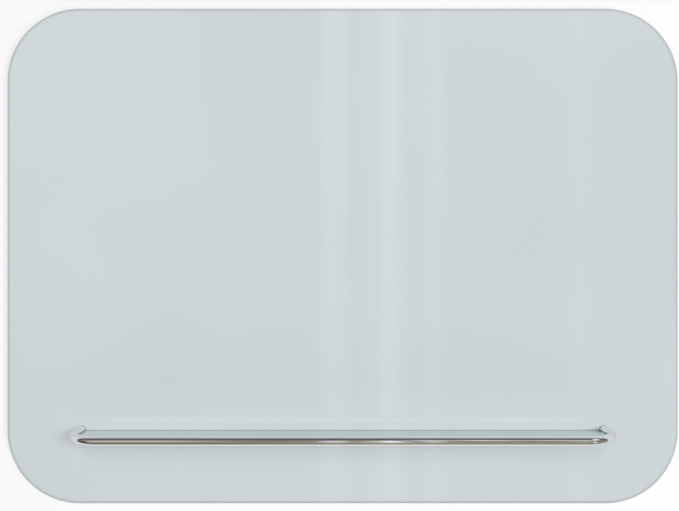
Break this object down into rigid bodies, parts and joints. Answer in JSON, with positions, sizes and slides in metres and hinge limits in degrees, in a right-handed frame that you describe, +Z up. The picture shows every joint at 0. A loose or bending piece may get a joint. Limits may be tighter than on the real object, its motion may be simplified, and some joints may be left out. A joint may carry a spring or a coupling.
{
  "type": "magnetic glass whiteboard",
  "caption": "Frameless back-painted glass whiteboard on a steel sheet, hung on hidden wall cleats, with a chromed tube pen rail and shelf across its lower part.",
  "frame": {"origin": "middle of the upper wall rail's back face, on the wall", "axes": "+Z up, +Y into the wall, +X along the board to the viewer's right; the writing face looks along -Y"},
  "size_m": [1.219, 0.163, 0.9],
  "materials": {
    "back_painted_glass": "gloss",
    "galvanised_steel": "satin",
    "extruded_aluminium": "satin",
    "acrylic_foam_tape": "matte",
    "moulded_rubber": "matte",
    "moulded_nylon": "satin",
    "soft_clear_vinyl": "gloss",
    "zinc_plated_steel": "satin",
    "turned_stainless_steel": "satin",
    "chromed_steel_tube": "mirror",
    "polished_stainless_sheet": "polished"
  },
  "bodies": {
    "wall": {"wall_rail": "extruded_aluminium", "wall_rail_sleeve_1": "moulded_nylon", "wall_rail_sleeve_2": "moulded_nylon", "wall_rail_sleeve_3": "moulded_nylon", "wall_rail_sleeve_4": "moulded_nylon", "wall_rail_screw_1": "zinc_plated_steel", "wall_rail_screw_2": "zinc_plated_steel", "wall_rail_screw_3": "zinc_plated_steel", "wall_rail_screw_4": "zinc_plated_steel", "lower_wall_cleat_left": "extruded_aluminium", "lower_wall_cleat_right": "extruded_aluminium", "lower_cleat_sleeve_1": "moulded_nylon", "lower_cleat_sleeve_2": "moulded_nylon", "lower_cleat_sleeve_3": "moulded_nylon", "lower_cleat_sleeve_4": "moulded_nylon", "lower_cleat_screw_1": "zinc_plated_steel", "lower_cleat_screw_2": "zinc_plated_steel", "lower_cleat_screw_3": "zinc_plated_steel", "lower_cleat_screw_4": "zinc_plated_steel"},
    "board": {"glass_panel": "back_painted_glass", "steel_sheet": "galvanised_steel", "board_rail": "extruded_aluminium", "board_rail_tape": "acrylic_foam_tape", "lower_board_cleat_left": "extruded_aluminium", "lower_board_cleat_right": "extruded_aluminium", "lower_cleat_tape_left": "acrylic_foam_tape", "lower_cleat_tape_right": "acrylic_foam_tape", "levelling_nut_left": "zinc_plated_steel", "levelling_nut_right": "zinc_plated_steel", "upper_bumper_left": "moulded_rubber", "upper_bumper_right": "moulded_rubber", "lower_bumper_left": "moulded_rubber", "lower_bumper_right": "moulded_rubber", "rail_spigot_left": "turned_stainless_steel", "rail_spigot_right": "turned_stainless_steel", "spigot_gasket_left": "soft_clear_vinyl", "spigot_gasket_right": "soft_clear_vinyl", "glass_hole_bush_left": "moulded_nylon", "glass_hole_bush_right": "moulded_nylon", "spigot_washer_left": "zinc_plated_steel", "spigot_washer_right": "zinc_plated_steel", "spigot_bolt_left": "zinc_plated_steel", "spigot_bolt_right": "zinc_plated_steel"},
    "left_leveller": {"levelling_screw_left": "zinc_plated_steel"},
    "right_leveller": {"levelling_screw_right": "zinc_plated_steel"},
    "pen_rail": {"pen_rail_tube": "chromed_steel_tube", "pen_shelf": "polished_stainless_sheet", "shelf_edge_strip": "soft_clear_vinyl", "grub_screw_left": "turned_stainless_steel", "grub_screw_right": "turned_stainless_steel"}
  },
  "joints": [
    {"name": "board_lift", "type": "slide", "parent": "wall", "child": "board", "axis": [0, 0, 1], "range_m": [0, 0.012]},
    {"name": "levelling_left_turn", "type": "hinge", "parent": "board", "child": "left_leveller", "pos_m": [-0.435, -0.00825, 0.04], "axis": [0, 0, 1], "range_deg": [-720, 720]},
    {"name": "levelling_right_turn", "type": "hinge", "parent": "board", "child": "right_leveller", "pos_m": [0.435, -0.00825, 0.04], "axis": [0, 0, 1], "range_deg": [-720, 720]},
    {"name": "pen_rail_pull", "type": "slide", "parent": "board", "child": "pen_rail", "axis": [0, -1, 0], "range_m": [0, 0.022]}
  ]
}
